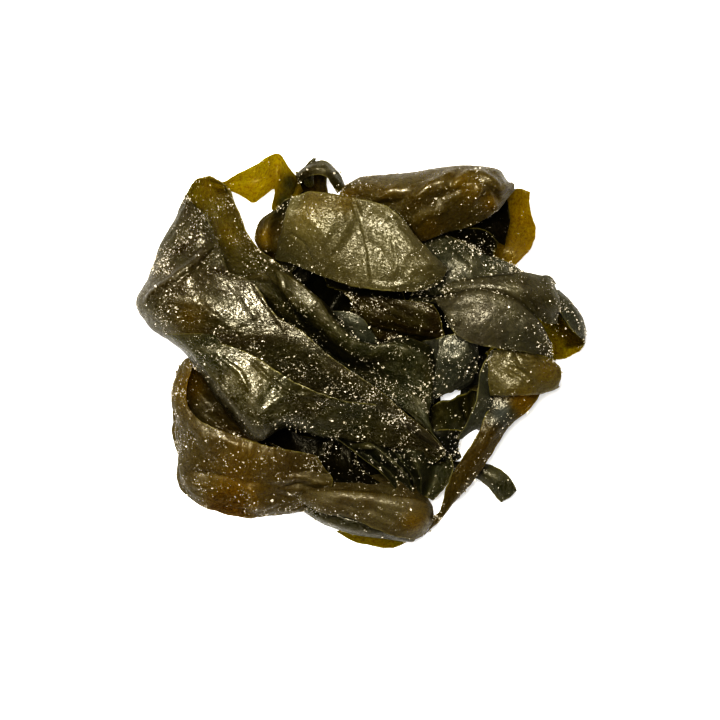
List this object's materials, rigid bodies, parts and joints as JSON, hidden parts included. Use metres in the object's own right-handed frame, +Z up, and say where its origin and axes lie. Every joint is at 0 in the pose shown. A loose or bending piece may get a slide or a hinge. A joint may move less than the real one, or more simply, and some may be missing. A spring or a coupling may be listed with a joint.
{
  "type": "dried kelp strip",
  "caption": "Leathery strip of dried, salted kelp crumpled into a loose clump of overlapping folds, lying flat on its underside.",
  "frame": {"origin": "middle of the clump's footprint, at the height of the table it lies on", "axes": "+Z up out of the table, +X towards the curled margin on the right, +Y towards the large roll at the back"},
  "size_m": [0.1598, 0.1412, 0.0383],
  "materials": {
    "kelp": "satin, finely wrinkled, dark olive brown, amber where a single thickness lets light through",
    "salt": "loose white salt grains"
  },
  "bodies": {
    "root": {"kelp": "kelp"}
  },
  "joints": []
}
